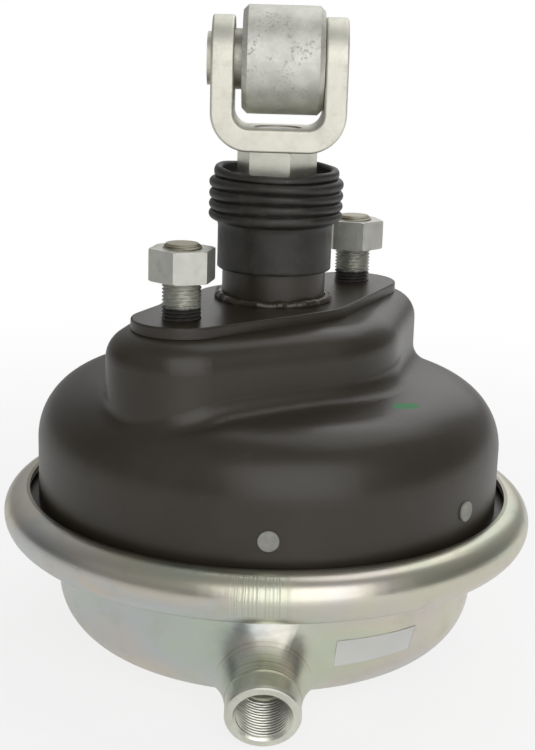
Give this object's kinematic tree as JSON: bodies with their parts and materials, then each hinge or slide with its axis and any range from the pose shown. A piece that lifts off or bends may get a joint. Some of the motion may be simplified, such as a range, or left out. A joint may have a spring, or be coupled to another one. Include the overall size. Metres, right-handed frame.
{
  "type": "air brake chamber",
  "caption": "Round air brake chamber: a black dome clamped to a zinc-plated bowl, with a studded mounting plate, a side air port and a booted pushrod carrying a roller in a clevis.",
  "frame": {"origin": "centre of the mounting face, on the pushrod's axis, level with the top of the mounting plate", "axes": "+Z out along the pushrod, +X along the line through both mounting studs, +Y completes the frame"},
  "size_m": [0.234, 0.234, 0.2805],
  "materials": {
    "black_paint": "satin brownish-black dip paint with small scratches",
    "vent_plastic": "light grey moulded plastic",
    "stud_zinc": "zinc plated rolled thread",
    "nut_zinc": "grey zinc plating, dull",
    "cover_zinc": "zinc plating with a yellowish iridescent passivation",
    "port_steel": "turned steel under the same plating",
    "diaphragm_rubber": "fabric reinforced rubber",
    "boot_rubber": "matte moulded rubber",
    "spring_steel": "oiled spring wire",
    "rod_steel": "zinc plated steel",
    "clevis_zinc": "pale dull zinc plating on a forging",
    "sleeve_steel": "dark blued steel",
    "roller_steel": "dull silver with scuffs and rust specks"
  },
  "bodies": {
    "housing": {"upper_housing": "black_paint", "mounting_plate": "black_paint", "neck_tube": "black_paint", "neck_weld": "black_paint", "vent_plug_1": "vent_plastic", "vent_plug_2": "vent_plastic", "vent_plug_3": "vent_plastic", "mounting_stud_left": "stud_zinc", "mounting_stud_right": "stud_zinc", "stud_nut_left": "nut_zinc", "stud_nut_right": "nut_zinc", "pressure_cover": "cover_zinc", "port_boss": "port_steel", "rod_boot": "boot_rubber", "return_spring": "spring_steel"},
    "diaphragm": {"diaphragm": "diaphragm_rubber"},
    "pushrod": {"push_plate": "rod_steel", "pushrod": "rod_steel", "rod_weld": "rod_steel", "lock_nut": "nut_zinc", "clevis": "clevis_zinc", "clevis_pin": "clevis_zinc", "roller_sleeve": "sleeve_steel"},
    "roller": {"roller": "roller_steel"}
  },
  "joints": [
    {"name": "stroke", "type": "slide", "parent": "housing", "child": "diaphragm", "axis": [0, 0, 1], "range_m": [0, 0.057], "stiffness_N_per_m": 2800, "springref_m": -0.05, "deforming": ["rod_boot", "return_spring", "diaphragm"]},
    {"name": "rod_swivel", "type": "hinge", "parent": "diaphragm", "child": "pushrod", "pos_m": [0, 0, 0], "axis": [0, 0, 1], "continuous": true},
    {"name": "roller_spin", "type": "hinge", "parent": "pushrod", "child": "roller", "pos_m": [0, 0, 0.1011], "axis": [0.6088, -0.7934, 0], "continuous": true}
  ]
}
